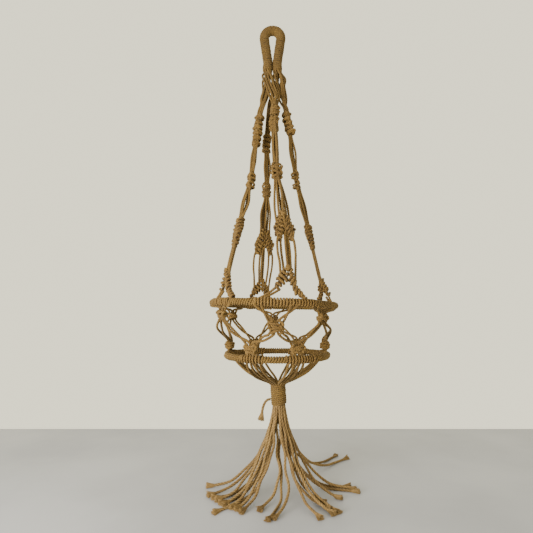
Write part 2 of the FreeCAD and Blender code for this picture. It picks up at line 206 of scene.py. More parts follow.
def coil(line, radius, pitch, slant=0.0, lean=0.0, start=0.0, uneven=0.0, turns=None):
    """A winding round a line.

    line(s) gives a point and two sides at distance s, and line(None) the line's
    length.  slant and lean shift each turn along the line at its first and its second
    side, and uneven is the spread of the turns' radii."""
    path = []
    total, _ = line(None)
    turns = turns or total / pitch
    steps = int(turns * TURN_STEPS)
    sway = [noise.normal(0, uneven) for _ in range(int(turns) + 3)]
    for i in range(steps + 1):
        turn = i / TURN_STEPS
        theta = start + 2 * math.pi * turn
        k = int(turn)
        loose = sway[k] * (1 - turn + k) + sway[k + 1] * (turn - k)
        s = min(max(turn * total / turns + slant * math.cos(theta)
                + lean * math.sin(theta), 0), total)
        centre, out, up = line(s)
        r = radius + loose
        path.append(centre + r * (math.cos(theta) * out + math.sin(theta) * up))
    return resampled(smooth(path, 0.8, 3), WINDING_STEP)


def straight_line(a, b, facing):
    """A line for coil(), from a to b, whose first side faces outward."""
    t = unit(b - a)
    up = unit(np.cross(t, facing))
    out = np.cross(up, t)

    def line(s):
        if s is None:
            return np.linalg.norm(b - a), None
        return a + t * s, out, up
    return line


# ------------------------------------------------------------------- materials

def node(tree, kind, x=0, y=0, **inputs):
    made = tree.nodes.new(kind)
    made.location = (x, y)
    for name, value in inputs.items():
        made.inputs[name.replace("_", " ")].default_value = value
    return made


def attribute(tree, name, x, y):
    made = tree.nodes.new("ShaderNodeAttribute")
    made.location = (x, y)
    made.attribute_name = name
    return made.outputs["Fac"]


def maths(tree, operation, a, b, x=0, y=0):
    made = tree.nodes.new("ShaderNodeMath")
    made.location = (x, y)
    made.operation = operation
    for socket, value in zip(made.inputs, (a, b)):
        if isinstance(value, (int, float)):
            socket.default_value = value
        else:
            tree.links.new(value, socket)
    return made.outputs[0]


def ramp(tree, factor, stops, x, y):
    made = tree.nodes.new("ShaderNodeValToRGB")
    made.location = (x, y)
    elements = made.color_ramp.elements
    while len(elements) < len(stops):
        elements.new(0.5)
    for element, (place, colour) in zip(elements, stops):
        element.position = place
        element.color = (*colour, 1)
    tree.links.new(factor, made.inputs["Fac"])
    return made.outputs["Color"]


def mixed(tree, kind, factor, a, b, x, y):
    made = tree.nodes.new("ShaderNodeMix")
    made.location = (x, y)
    made.data_type = "RGBA"
    made.blend_type = kind
    for socket, value in ((made.inputs[0], factor), (made.inputs[6], a), (made.inputs[7], b)):
        if isinstance(value, (int, float)):
            socket.default_value = value
        elif isinstance(value, tuple):
            socket.default_value = (*value, 1)
        else:
            tree.links.new(value, socket)
    return made.outputs[2]


def jute(name, light, deep, dark, shade=(0.30, 0.24, 0.19), crest=0.55):
    """Twisted jute: streaks of fibre along each ply, painted shade in the grooves, patchy colour."""
    material = bpy.data.materials.new(name)
    material.use_nodes = True
    tree = material.node_tree
    shader = tree.nodes["Principled BSDF"]
    along = attribute(tree, "along", -1400, 300)
    around = attribute(tree, "around", -1400, 100)
    groove = attribute(tree, "groove", -1400, -100)
    tint = attribute(tree, "tint", -1400, -300)
    place = node(tree, "ShaderNodeCombineXYZ", -1000, 200)
    for socket, source, factor in (("X", along, 0.35), ("Y", around, 26.0), ("Z", tint, 40.0)):
        tree.links.new(maths(tree, "MULTIPLY", source, factor), place.inputs[socket])
    streaks = node(tree, "ShaderNodeTexNoise", -800, 200, Scale=1.0, Detail=4.0, Roughness=0.65)
    tree.links.new(place.outputs[0], streaks.inputs["Vector"])
    coordinates = node(tree, "ShaderNodeTexCoord", -1200, -500)
    patches = node(tree, "ShaderNodeTexNoise", -1000, -500, Scale=38.0, Detail=3.0, Roughness=0.6)
    tree.links.new(coordinates.outputs["Object"], patches.inputs["Vector"])
    fibres = ramp(tree, streaks.outputs["Fac"], [(0.28, dark), (0.48, deep), (0.72, light)], -500, 250)
    patched = mixed(tree, "MULTIPLY", 0.55, fibres,
                    ramp(tree, patches.outputs["Fac"],
                         [(0.3, (0.62, 0.55, 0.48)), (0.65, (1.12, 1.08, 1.02))], -700, -450), -200, 200)
    varied = mixed(tree, "MULTIPLY", 0.5, patched,
                   ramp(tree, tint, [(0.0, (0.72, 0.66, 0.6)), (1.0, (1.2, 1.17, 1.1))], -700, -700),
                   0, 150)
    # painted shade: darkens the colour towards shade where the groove attribute is low, in the hollows
    # between plies and between the turns of a winding
    depth = ramp(tree, groove, [(0.0, shade), (crest, (1.0, 1.0, 1.0))], -500, -100)
    final = mixed(tree, "MULTIPLY", 0.9, varied, depth, 200, 100)
    tree.links.new(final, shader.inputs["Base Color"])
    shader.inputs["Roughness"].default_value = 0.82
    shader.inputs["Specular IOR Level"].default_value = 0.25
    shader.inputs["Sheen Weight"].default_value = 0.12
    shader.inputs["Sheen Roughness"].default_value = 0.45
    shader.inputs["Sheen Tint"].default_value = (0.9, 0.75, 0.5, 1)
    bump = node(tree, "ShaderNodeBump", 200, -300, Strength=0.55, Distance=0.0006)
    tree.links.new(streaks.outputs["Fac"], bump.inputs["Height"])
    tree.links.new(bump.outputs[0], shader.inputs["Normal"])
    return material


def brushed_wire():
    material = bpy.data.materials.new("hoop_wire")
    material.use_nodes = True
    tree = material.node_tree
    shader = tree.nodes["Principled BSDF"]
    coordinates = node(tree, "ShaderNodeTexCoord", -600, 0)
    grain = node(tree, "ShaderNodeTexNoise", -400, 0, Scale=900.0, Detail=3.0)
    tree.links.new(coordinates.outputs["Object"], grain.inputs["Vector"])
    colour = ramp(tree, grain.outputs["Fac"],
                  [(0.3, (0.30, 0.29, 0.27)), (0.7, (0.52, 0.50, 0.47))], -200, 0)
    tree.links.new(colour, shader.inputs["Base Color"])
    shader.inputs["Metallic"].default_value = 1.0
    shader.inputs["Roughness"].default_value = 0.42
    return material


# One jute in lit and shaded copies: the knots' copy is lighter than the cords' and the windings',
# painted light that brightens the arms against the neck and loop
cord_jute = jute("jute_cord", (0.212, 0.132, 0.030), (0.090, 0.052, 0.009), (0.021, 0.011, 0.002))
wound_jute = jute("jute_winding", (0.225, 0.143, 0.032), (0.10, 0.059, 0.010), (0.024, 0.012, 0.002))
knot_jute = jute("jute_knots", (0.245, 0.152, 0.036), (0.102, 0.059, 0.011), (0.022, 0.012, 0.002))
tassel_jute = jute("jute_tassel", (0.34, 0.227, 0.089), (0.152, 0.096, 0.030),
                   (0.034, 0.019, 0.005), shade=(0.13, 0.095, 0.06), crest=0.78)
wire = brushed_wire()


# ------------------------------------------------------------ camera and light

def add_camera():
    camera = bpy.data.cameras.new("camera")
    camera.sensor_width = 36.0
    camera.lens = 26.0
    made = bpy.data.objects.new("camera", camera)
    made.location = (-0.0132, -0.770, -0.619)
    made.rotation_euler = (math.radians(97.8), 0, 0)
    bpy.context.scene.collection.objects.link(made)
    bpy.context.scene.camera = made


def add_light(name, place, target, size, watts, colour=(1, 1, 1)):
    data = bpy.data.lights.new(name, "AREA")
    data.size = size
    data.energy = watts
    data.color = colour
    made = bpy.data.objects.new(name, data)
    made.location = place
    direction = Vector(target) - Vector(place)
    made.rotation_euler = direction.to_track_quat("-Z", "Y").to_euler()
    bpy.context.scene.collection.objects.link(made)


SURFACE = -930.0


def add_floor():
    mesh = bpy.data.meshes.new("floor")
    x, near, far, z = 1.6, -1.6, 0.385, SURFACE * MM
    mesh.from_pydata([(-x, near, z), (x, near, z), (x, far, z), (-x, far, z)], [], [(0, 1, 2, 3)])
    floor = bpy.data.objects.new("floor", mesh)
    bpy.context.scene.collection.objects.link(floor)
    material = bpy.data.materials.new("floor")
    material.use_nodes = True
    tree = material.node_tree
    shader = tree.nodes["Principled BSDF"]
    coordinates = node(tree, "ShaderNodeTexCoord", -800, 0)
    cloud = node(tree, "ShaderNodeTexNoise", -600, 0, Scale=4.0, Detail=5.0)
    tree.links.new(coordinates.outputs["Object"], cloud.inputs["Vector"])
    colour = ramp(tree, cloud.outputs["Fac"],
                  [(0.35, (0.27, 0.275, 0.30)), (0.65, (0.33, 0.335, 0.36))], -300, 0)
    tree.links.new(colour, shader.inputs["Base Color"])
    shader.inputs["Roughness"].default_value = 0.5
    mesh.materials.append(material)


def add_world():
    world = bpy.data.worlds.new("world")
    world.use_nodes = True
    background = world.node_tree.nodes["Background"]
    background.inputs["Color"].default_value = (0.80, 0.758, 0.57, 1)
    background.inputs["Strength"].default_value = 1.9
    bpy.context.scene.world = world


add_camera()
add_floor()
add_world()
add_light("window", (-0.85, -0.95, -0.72), (0, 0, -0.7), 0.7, 62, (1.0, 0.96, 0.90))
add_light("fill", (1.0, -1.2, -0.82), (0, 0, -0.7), 0.9, 18, (0.95, 0.97, 1.0))


# ---------------------------------------------------------------- tassel cords
# The strands' routes, as in the CAD part.
STRANDS = [
    [(9, 9.7, -781), (7, 12, -800), (-1, 16, -828), (-15, 18, -858), (-37, 14, -887),
     (-63, 6, -911), (-91, -1, -925), (-127, -3, -928)],
    [(5.2, 8, -781), (2, 9, -800), (-6, 11, -828), (-20, 8, -858), (-39, -1, -887),
     (-61, -15, -911), (-86, -27, -925), (-120, -42, -928)],
    [(8.8, 5.2, -781), (8, 6, -801), (3, 7, -831), (-8, 6, -862), (-24, -2, -892),
     (-43, -16, -914), (-62, -32, -926), (-86, -44, -928), (-111, -52, -928)],
    [(2.4, 5, -781), (0, 5, -800), (-9, 4, -828), (-21, -1, -858), (-37, -14, -887),
     (-56, -31, -911), (-76, -49, -925), (-103, -62, -928)],
    [(5.8, 2.1, -781), (5, 2, -801), (0, 1, -831), (-9, -3, -862), (-22, -13, -892),
     (-37, -28, -914), (-55, -45, -926), (-74, -60, -928), (-95, -72, -928)],
    [(1.2, 1, -781), (-1, 0, -800), (-9, -3, -828), (-19, -10, -858), (-33, -24, -887),
     (-50, -42, -911), (-68, -62, -925), (-88, -79, -928)],
    [(1.6, -3, -781), (-1, -4, -800), (-7, -9, -828), (-16, -17, -858), (-29, -31, -887),
     (-44, -50, -911), (-62, -69, -925), (-81, -88, -928), (-101, -104, -928)],
    [(5.8, -2.1, -781), (5, -3, -801), (1, -5, -831), (-5, -11, -862), (-16, -23, -892),
     (-30, -38, -914), (-46, -57, -926), (-75, -89, -928)],
    [(3.6, -6.6, -781), (2, -9, -800), (-3, -14, -828), (-11, -24, -858), (-21, -38, -887),
     (-35, -58, -911), (-51, -78, -925), (-65, -95, -928)],
    [(7, -9, -781), (6, -11, -800), (2, -18, -828), (-4, -28, -858), (-15, -43, -887),
     (-27, -63, -911), (-42, -84, -925), (-56, -105, -928)],
    [(8.9, -5.2, -781), (8, -6, -801), (7, -10, -831), (8, -18, -862), (9, -32, -892),
     (3, -52, -914), (-10, -73, -926), (-27, -97, -928)],
    [(11, -9.9, -781), (12, -12, -800), (14, -20, -828), (18, -32, -858), (23, -49, -887),
     (24, -72, -911), (14, -98, -925), (-3, -124, -928)],
    [(11, 0, -781), (11, -1, -801), (12, -5, -831), (13, -13, -862), (13, -27, -892),
     (12, -47, -915), (9, -75, -927), (0, -103, -928), (-14, -128, -928)],
    [(15, -9.2, -781), (16, -11, -800), (19, -18, -828), (25, -29, -858), (33, -45, -887),
     (44, -66, -911), (56, -89, -925), (73, -123, -928)],
    [(18.5, -6.6, -781), (20, -9, -800), (25, -14, -828), (33, -24, -858), (43, -38, -887),
     (58, -57, -911), (75, -79, -925), (97, -110, -928)],
    [(13.2, -5.2, -781), (14, -6, -801), (16, -10, -831), (22, -17, -862), (32, -28, -892),
     (46, -43, -914), (65, -61, -926), (92, -95, -928)],
    [(20.6, -2.9, -781), (23, -4, -800), (29, -9, -828), (37, -18, -858), (49, -33, -887),
     (64, -53, -911), (82, -73, -925), (107, -103, -928)],
    [(16.2, -2.1, -781), (17, -3, -801), (21, -5, -831), (28, -11, -862), (38, -22, -892),
     (53, -37, -914), (70, -54, -926), (88, -71, -928)],
    [(20.9, 1.2, -781), (23, 1, -800), (31, -1, -828), (42, -6, -858), (58, -16, -887),
     (78, -30, -911), (99, -44, -925), (120, -54, -928)],
    [(16.2, 2.1, -781), (17, 2, -801), (22, 2, -831), (31, 2, -862), (46, -2, -892),
     (66, -9, -914), (90, -14, -926), (124, -18, -928), (157, -26, -928)],
    [(19.6, 5, -781), (22, 6, -800), (30, 7, -828), (42, 6, -858), (61, 2, -887),
     (85, -4, -911), (112, -9, -925), (154, -13, -928)],
    [(13.2, 5.2, -781), (14, 6, -801), (19, 8, -831), (28, 10, -862), (45, 8, -892),
     (67, 3, -914), (91, -1, -926), (118, -4, -928), (146, -5, -928)],
    [(16.8, 8.1, -781), (19, 10, -800), (25, 17, -828), (36, 28, -858), (55, 44, -887),
     (79, 64, -911), (108, 89, -925), (140, 121, -928), (171, 148, -928)],
    [(13, 9.7, -781), (14, 13, -800), (19, 21, -828), (29, 34, -858), (46, 51, -887),
     (69, 73, -911), (97, 103, -925), (125, 134, -928), (149, 166, -928)],
]
WRAP_TAIL = [(-5.6, -3, -771), (-11, -5, -771), (-17, -7, -777), (-21, -8, -788),
             (-22, -9, -799), (-24, -9, -810)]
STRAND_RADIUS = 2.0     # of the free cords, as in the CAD part
STRAND_FULLNESS = 1.28  # the loose ends have untwisted a little and look fuller
STRAND_LAY = 18.0       # LAY of the free cords
SWAY = 1.7              # the most that each of a fallen strand's three waves sways it
BRUSH_LENGTH = 16.0     # the last stretch of a strand, which carries loose hairs
BRUSH_RADIUS = 3.95
BRUSH_FIBRES = 44
BRUSH_BARE = 0.75       # share of the brush's length that has no solid cord in it
GOLDEN = 0.618          # turns from one hair of the brush to the next
TUFT_LENGTH = 17.0
TUFT_RADIUS = 9.0
TUFT_FIBRES = 26        # in each ply


def nurbs_path(name, points):
    """The smooth line of a cord's route, in millimetres."""
    data = bpy.data.curves.new(name, "CURVE")
    data.dimensions = "3D"
    spline = data.splines.new("NURBS")
    spline.points.add(len(points) - 1)
    for control, p in zip(spline.points, points):
        control.co = (*(MM * x for x in p), 1)
    spline.order_u = 3
    spline.use_endpoint_u = True
    data.resolution_u = 16
    holder = bpy.data.objects.new(name, data)
    line = bpy.data.meshes.new_from_object(holder)
    path = np.array([v.co for v in line.vertices], float).reshape(-1, 3) / MM
    bpy.data.objects.remove(holder)
    bpy.data.meshes.remove(line)
    return path


def frayed_end(yarn, path, on_surface):
    """The plies come apart into a small brush over the last stretch of a cord."""
    _, side, other = carried_frames(path)
    length = distances(path)
    start = np.searchsorted(length, length[-1] - BRUSH_LENGTH)
    core = path[start:]
    share = np.linspace(0, 1, len(core))
    for k in range(BRUSH_FIBRES):
        angle = 2 * math.pi * (k * GOLDEN % 1)
        spread = math.sqrt((k + 0.5) / BRUSH_FIBRES)
        reach = BRUSH_RADIUS * spread * (share ** 0.9)
        base = 1.35 * spread * (1 - share)
        direction = math.cos(angle) * side[-1] + math.sin(angle) * other[-1]
        kink = 0.35 * np.sin(share * random.uniform(5, 9) + angle)
        hair = core + np.outer(base + reach, direction) + np.outer(kink * share, other[-1])
        trimmed = 1.0 if k % 3 == 0 else random.uniform(0.82, 1.0)
        hair = hair[: max(4, int(len(hair) * trimmed))]
        if on_surface:
            hair[:, 2] = np.maximum(hair[:, 2], SURFACE + 0.5)
        yarn.fibre(hair, random.uniform(0.34, 0.52))


def tuft(yarn, path, on_surface):
    """The three plies of a cord's cut end, splayed into ragged bunches of fibre."""
    _, side, other = carried_frames(path)
    length = distances(path)
    core = path[np.searchsorted(length, length[-1] - TUFT_LENGTH):]
    share = np.linspace(0, 1, len(core))
    turn = random.uniform(0, 2 * math.pi)
    for ply in range(PLIES):
        angle = turn + 2 * math.pi * ply / PLIES + random.uniform(-0.4, 0.4)
        splay = TUFT_RADIUS * random.uniform(0.3, 0.58)
        direction = math.cos(angle) * side[-1] + math.sin(angle) * other[-1]
        bunch = core + np.outer(1.0 + (splay - 1.0) * share ** 1.3, direction)
        for _ in range(TUFT_FIBRES):
            a = random.uniform(0, 2 * math.pi)
            stray = math.cos(a) * side[-1] + math.sin(a) * other[-1]
            out = math.sqrt(random.random())
            hair = bunch + np.outer(out * (1.4 + 2.6 * share), stray)
            hair = hair[: max(4, int(len(hair) * random.uniform(0.8, 1.0)))]
            if on_surface:
                hair[:, 2] = np.maximum(hair[:, 2], SURFACE + random.uniform(0.4, 1.4))
            yarn.fibre(hair, random.uniform(0.5, 0.85), random.uniform(0.5, 1.0), 0.75)


def swayed(path):
    """The path with a slight wave to either side, as loosely fallen cord has."""
    share = np.linspace(0, 1, len(path))
    sideways = np.cross(np.gradient(path, axis=0), (0, 0, 1))
    sideways /= np.linalg.norm(sideways, axis=1)[:, None]
    wave = np.zeros(len(path))
    for waves in (1.5, 2.6, 4.1):
        wave += random.uniform(0.4, 1.0) * np.sin(2 * math.pi * (waves * share + random.random()))
    return path + sideways * (SWAY * np.sin(math.pi * share) * wave)[:, None]


def free_cord(name, points, on_surface=True):
    path = resampled(nurbs_path(name + "_line", points))
    path = resampled(swayed(path)) if on_surface else path
    yarn = Yarn()
    solid = path[: len(path) - int(BRUSH_LENGTH * BRUSH_BARE / STEP)]
    yarn.cord(solid, STRAND_RADIUS * STRAND_FULLNESS, lay=STRAND_LAY)
    frayed_end(yarn, path, on_surface)
    piece = yarn.piece(name, tassel_jute)
    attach(piece, "basket")
    tuft(tufts, path, on_surface)
    return piece


tufts = Yarn()
for number, route in enumerate(STRANDS, start=1):
    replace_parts(free_cord(f"strand_{number:02d}", route), f"tassel_strand_{number:02d}")
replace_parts(free_cord("wrap_tail_cord", WRAP_TAIL, on_surface=False), "wrap_tail")
tuft_piece = tufts.piece("cord_end_tufts", tassel_jute)
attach(tuft_piece, "basket")


# ---------------------------------------------------------------- hanging loop
LOOP_BEND = 18.2        # radius of the loop's centreline over the hook
LOOP_TUBE = 10.7        # radius over the winding
LOOP_LEG_X = 10.9
LOOP_END = -87.0
LOOP_CORD = 2.35
LOOP_MEET = -69.0       # the two legs touch from here down
LOOP_MEET_INSET = 0.9   # and each centreline is this much less than LOOP_TUBE from X 0
LOOP_PITCH = 4.7
LOOP_FILLING = 7.6
BEND_CROWDING = 0.68    # the turns lie closer together over the hook
LINE_STEP = 0.5         # spacing of the points of the loop's centreline


def loop_line():
    """The loop's centreline for coil(): up the left leg, over and down the right."""
    centre_z = LOOP_TUBE - LOOP_BEND
    meet_x = LOOP_TUBE - LOOP_MEET_INSET
    reach = math.hypot(meet_x, LOOP_MEET - centre_z)
    swing = math.atan2(LOOP_MEET - centre_z, meet_x) + math.acos(LOOP_BEND / reach)
    arc = [point(-LOOP_BEND * math.cos(a), 0, centre_z + LOOP_BEND * math.sin(a))
           for a in np.linspace(swing, math.pi - swing, 40)]
    foot, meet = point(-LOOP_LEG_X, 0, LOOP_END), point(-meet_x, 0, LOOP_MEET)
    leg = list(smooth([foot, (foot + meet) / 2 + (0.3, 0, 0), meet, (meet + arc[0]) / 2, arc[0]]))
    leg = resampled(leg, LINE_STEP)
    arc = resampled(arc, LINE_STEP * BEND_CROWDING)
    path = np.vstack([leg[:-1], arc, leg[-2::-1] * (-1, 1, 1)])
    tangents = np.gradient(path, axis=0)
    tangents /= np.linalg.norm(tangents, axis=1)[:, None]

    def line(s):
        if s is None:
            return LINE_STEP * (len(path) - 1), None
        i = min(int(s / LINE_STEP), len(path) - 1)
        return path[i], unit(np.cross((0, 1, 0), tangents[i])), point(0, 1, 0)
    return line


def hanging_loop():
    yarn, line = Yarn(), loop_line()
    yarn.cord(coil(line, LOOP_TUBE - LOOP_CORD, LOOP_PITCH, slant=0.8,
                   uneven=0.22), LOOP_CORD, wound=True, tint=0.0)
    yarn.filling(line, LOOP_FILLING, inset=3)
    piece = yarn.piece("loop_winding", wound_jute)
    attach(piece, "hanging_loop")
    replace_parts(piece, "hanging_loop_wrap", "hanging_loop_core")


# ----------------------------------------------------------------------- rings
RINGS = {
    "upper": {"middle": 1.0, "radius": 120.5, "z": -590.0, "tilt": 1.5, "body": "hanger"},
    "lower": {"middle": 7.0, "radius": 96.5, "z": -688.0, "tilt": 0.0, "body": "basket"},
}
RING_TUBE = 6.5         # radius over the winding
RING_FILLING = 3.7      # covers the wire
RING_PITCH = 4.7
RING_OVERLAP = 1        # degrees that a winding runs on under the hitches beside it
HITCH_PITCH = 5.2
HITCH_CORD = 2.35
HITCH_INSET = 0.9       # the hitches' centreline lies this far inside RING_TUBE
HITCH_BEAD = 2.6        # radius of the cord in a row of double half hitches
RIDGE_PITCH = 2.9 * HITCH_BEAD
RIDGE_LAY = 9.0         # LAY of the cord in such a row
RIDGE_JITTER = 0.7      # spread of the ends of such a row
# ARM_HITCHES and LOWER_HITCHES are the rows of hitches on the upper and the lower ring,
# each from one azimuth to another.  NET_UPPER gives each upper knot of the net its
# azimuth and its drop below the ring, and NET_LOWER each lower knot its azimuth.
ARM_HITCHES = [(-15.5, 36.5), (-67, -39), (97.5, 125.5), (180, 208)]
NET_UPPER = [(1, 43), (49, 24), (115, 26), (180, 28), (231, 24), (303, 22)]
NET_LOWER = [-29, 20, 98, 150, 208, 256]
LOWER_HITCHES = [(-42, -16), (8, 42), (85, 111), (137, 163), (195, 221), (243, 269)]
NET_SPLAY = 14          # degrees, about, from an upper knot to where its cords leave the ring


def ring_point(ring, azimuth, rise=0.0, inward=0.0):
    data = RINGS[ring]
    p = polar(data["radius"] - inward, azimuth, data["z"] + rise, (data["middle"], 0))
    p[2] -= (p[0] - data["middle"]) * math.tan(math.radians(data["tilt"]))
    return p


def ring_line(ring, start, end):
    data = RINGS[ring]
    total = data["radius"] * math.radians(end - start)

    def line(s):
        if s is None:
            return total, None
        azimuth = start + (end - start) * s / total
        return ring_point(ring, azimuth), polar(1, azimuth, 0), point(0, 0, 1)
    return line


def plain_sectors(hitched):
    """The stretches of a ring between its rows of hitches."""
    hitched = sorted((a % 360, b % 360) for a, b in hitched)
    return [(b, (a if a > b else a + 360))
            for (_, b), (a, _) in zip(hitched, hitched[1:] + hitched[:1])]


def wound_ring(ring, hitched):
    winding = Yarn()
    for start, end in plain_sectors(hitched):
        winding.cord(coil(ring_line(ring, start - RING_OVERLAP, end + RING_OVERLAP),
                          RING_TUBE - WRAP_CORD, RING_PITCH,
                          slant=1.2, lean=1.6, uneven=0.12), WRAP_CORD + 0.1, wound=True)
    winding.filling(ring_line(ring, 0, 360), RING_FILLING)
    piece = winding.piece(f"{ring}_ring_winding", wound_jute)
    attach(piece, RINGS[ring]["body"])
    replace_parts(piece, f"{ring}_ring_wrap")
    hitching = Yarn()
    for start, end in hitched:
        width = (end - start) * math.radians(1) * RINGS[ring]["radius"]
        turns = round(width / HITCH_PITCH)
        hitching.cord(coil(ring_line(ring, start, end), RING_TUBE - HITCH_INSET, HITCH_PITCH,
                           slant=0.4, lean=-0.8, uneven=0.4, turns=turns), HITCH_CORD,
                      wound=True)
    piece = hitching.piece(f"{ring}_ring_hitching", knot_jute)
    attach(piece, RINGS[ring]["body"])
    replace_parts(piece, f"{ring}_ring_hitches")
    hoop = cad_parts[f"{ring}_ring_hoop"]
    hoop.data.materials.clear()
    hoop.data.materials.append(wire)


# ----------------------------------------------------------------------- knots

def arm_axes(direction, azimuth):
    """Across the arm, and out of its face."""
    across = unit(np.cross(polar(1, azimuth, 0), direction))
    return across, unit(np.cross(direction, across))


def hitch_ridge(yarn, a, b, facing, lean):
    """A row of double half hitches along a line: plump slanting turns round one cord."""
    a = a + noise.normal(0, RIDGE_JITTER, 3)
    b = b + noise.normal(0, RIDGE_JITTER, 3)
    turns = max(2, round(np.linalg.norm(b - a) / RIDGE_PITCH))
    yarn.cord(coil(straight_line(a, b, facing), 1.1 * HITCH_BEAD, RIDGE_PITCH, lean=lean,
                   uneven=0.6, turns=turns, start=random.uniform(0, 6)), HITCH_BEAD,
              lay=RIDGE_LAY, wound=True)


def knob(yarn, centre, direction, facing, half):
    """A small overhand lump of one cord."""
    line = straight_line(centre - direction * half, centre + direction * half, facing)
    yarn.cord(coil(line, half * 0.95, half, lean=1.2, uneven=0.3, turns=2.2))


# One square knot, as shares of its half width, half thickness and half height.  The
# first cord crosses the front twice, and the second loops over it at both sides and
# crosses the back.
FRONT_CORD = [(-0.55, 0.3, 1.25), (-0.95, 0.70, 0.82), (-0.4, 1.0, 0.60), (0.4, 1.0, 0.38),
              (0.95, 0.6, 0.15), (1.02, 0.2, 0), (0.95, 0.6, -0.18), (0.4, 1.0, -0.42),
              (-0.4, 1.0, -0.60), (-0.95, 0.6, -0.85), (-0.55, 0.2, -1.25)]
BACK_CORD = [(0.55, 0.3, 1.25), (0.95, 0.95, 0.75), (1.1, 0.9, 0.3), (0.9, -0.5, 0.1),
             (0.35, -1, 0.15), (-0.35, -1, 0.3), (-0.95, -0.4, 0.5), (-1.15, 0.5, 0.45),
             (-1.15, 0.95, 0), (-1.05, 0.8, -0.4), (-0.9, -0.5, -0.5), (-0.35, -1, -0.45),
             (0.35, -1, -0.4), (0.95, -0.4, -0.5), (1.1, 0.5, -0.75), (0.55, 0.3, -1.25)]


BERRY_KNOT = 5.6        # half the length that one knot of a berry takes up
BERRY_THICK = 6.8       # half the thickness of a berry
SQUARE_THICK = 6.4      # and of an arm's square knots


def square_knot(yarn, centre, direction, across, facing, halves, strands=1):
    """A square knot tied with one or two cords at each side."""
    half_width, half_thick, half_height = halves
    hand = random.choice((-1, 1))
    for n in range(strands):
        aside = (n - (strands - 1) / 2) * 2 * CORD
        for shares in (FRONT_CORD, BACK_CORD):
            route = [centre + across * hand * x * (half_width + 0.5 * aside)
                     + facing * y * half_thick - direction * (z * half_height + aside)
                     + noise.normal(0, 0.35, 3) for x, y, z in shares]
            yarn.cord(smooth(route, 1.1, 6))


def berry(yarn, centre, direction, across, facing, half_length, half_width):
    """A sinnet of square knots tied one under another, each turned a little."""
    count = round(half_length / BERRY_KNOT)
    for k in range(count):
        middle = centre + direction * half_length * ((2 * k + 1) / count - 1)
        turn = random.uniform(-0.5, 0.5)
        sideways = unit(across + facing * turn)
        outwards = unit(facing - across * turn)
        square_knot(yarn, middle + noise.normal(0, 0.7, 3), direction, sideways, outwards,
                    (half_width - CORD, BERRY_THICK, half_length / count * 0.72))


# Each roof of a leaf: its top, how far it lifts there, how far out and how low it ends,
# as shares of the leaf's half length and half width, and the lift in millimetres.
LEAF_ROWS = ((-0.95, 2.5, 0.82, 0.30), (-0.52, 3.5, 0.74, 0.62), (-0.10, 3, 0.62, 0.95))
ROOF_LEAN = 1.3         # how far the turns in the rows of a roof lean


def leaf(yarn, centre, direction, across, facing, half_length, half_width):
    """A leaf: three nested roofs of hitches, over cords that show in the middle."""
    def at(w, u, lift):
        return centre + across * w * half_width + direction * u * half_length + facing * lift
    for side in (-1, 1):
        for face in (-1, 1):
            lean = ROOF_LEAN * side
            for top, lift, out, low in LEAF_ROWS:
                hitch_ridge(yarn, at(0.10 * side, top, lift * face), at(out * side, low, face),
                            facing, lean)
    knob(yarn, at(0, -0.78, 5), direction, facing, 3.2)


FIRST_ROW_IN = 0.03     # the top roof of a fan spreads this much less than its flare
FIRST_ROW_LOW = 0.46    # and ends at this share of the drop to the ring
FOOT_RISE = 6           # of the arms' feet over the middle of the ring's tube


def fan(yarn, apex, feet, facing, flare):
    """Three roofs of hitches that spread from a point and flare onto the upper ring."""
    for side, foot in zip((-1, 1), feet):
        reach = foot - apex
        flat = reach * (1, 1, 0)
        drop = point(0, 0, reach[2])
        rows = ((0, flare - FIRST_ROW_IN, FIRST_ROW_LOW), (0.17, flare, 0.58),
                (0.36, flare + 0.02, 0.70))
        for row, (top, out, low) in enumerate(rows):
            lift = facing * (2.0 + 0.7 * row)
            hitch_ridge(yarn, apex + drop * top + flat * 0.03 + lift,
                        apex + flat * out + drop * low + lift, facing, ROOF_LEAN * side)
        for low, width in ((0.66, flare + 0.02), (0.72, flare * 0.7)):
            start = apex + flat * width + drop * low + facing * 2
            end = foot + flat * (width - flare) * 0.5
            if side > 0:
                hitch_ridge(yarn, start, end, facing, ROOF_LEAN)
            else:
                sag = (start + end) / 2 + point(0, 0, -1.5)
                yarn.cord(smooth([start, sag, end]))
    knob(yarn, apex + facing * 3, unit(drop), facing, 3.4)


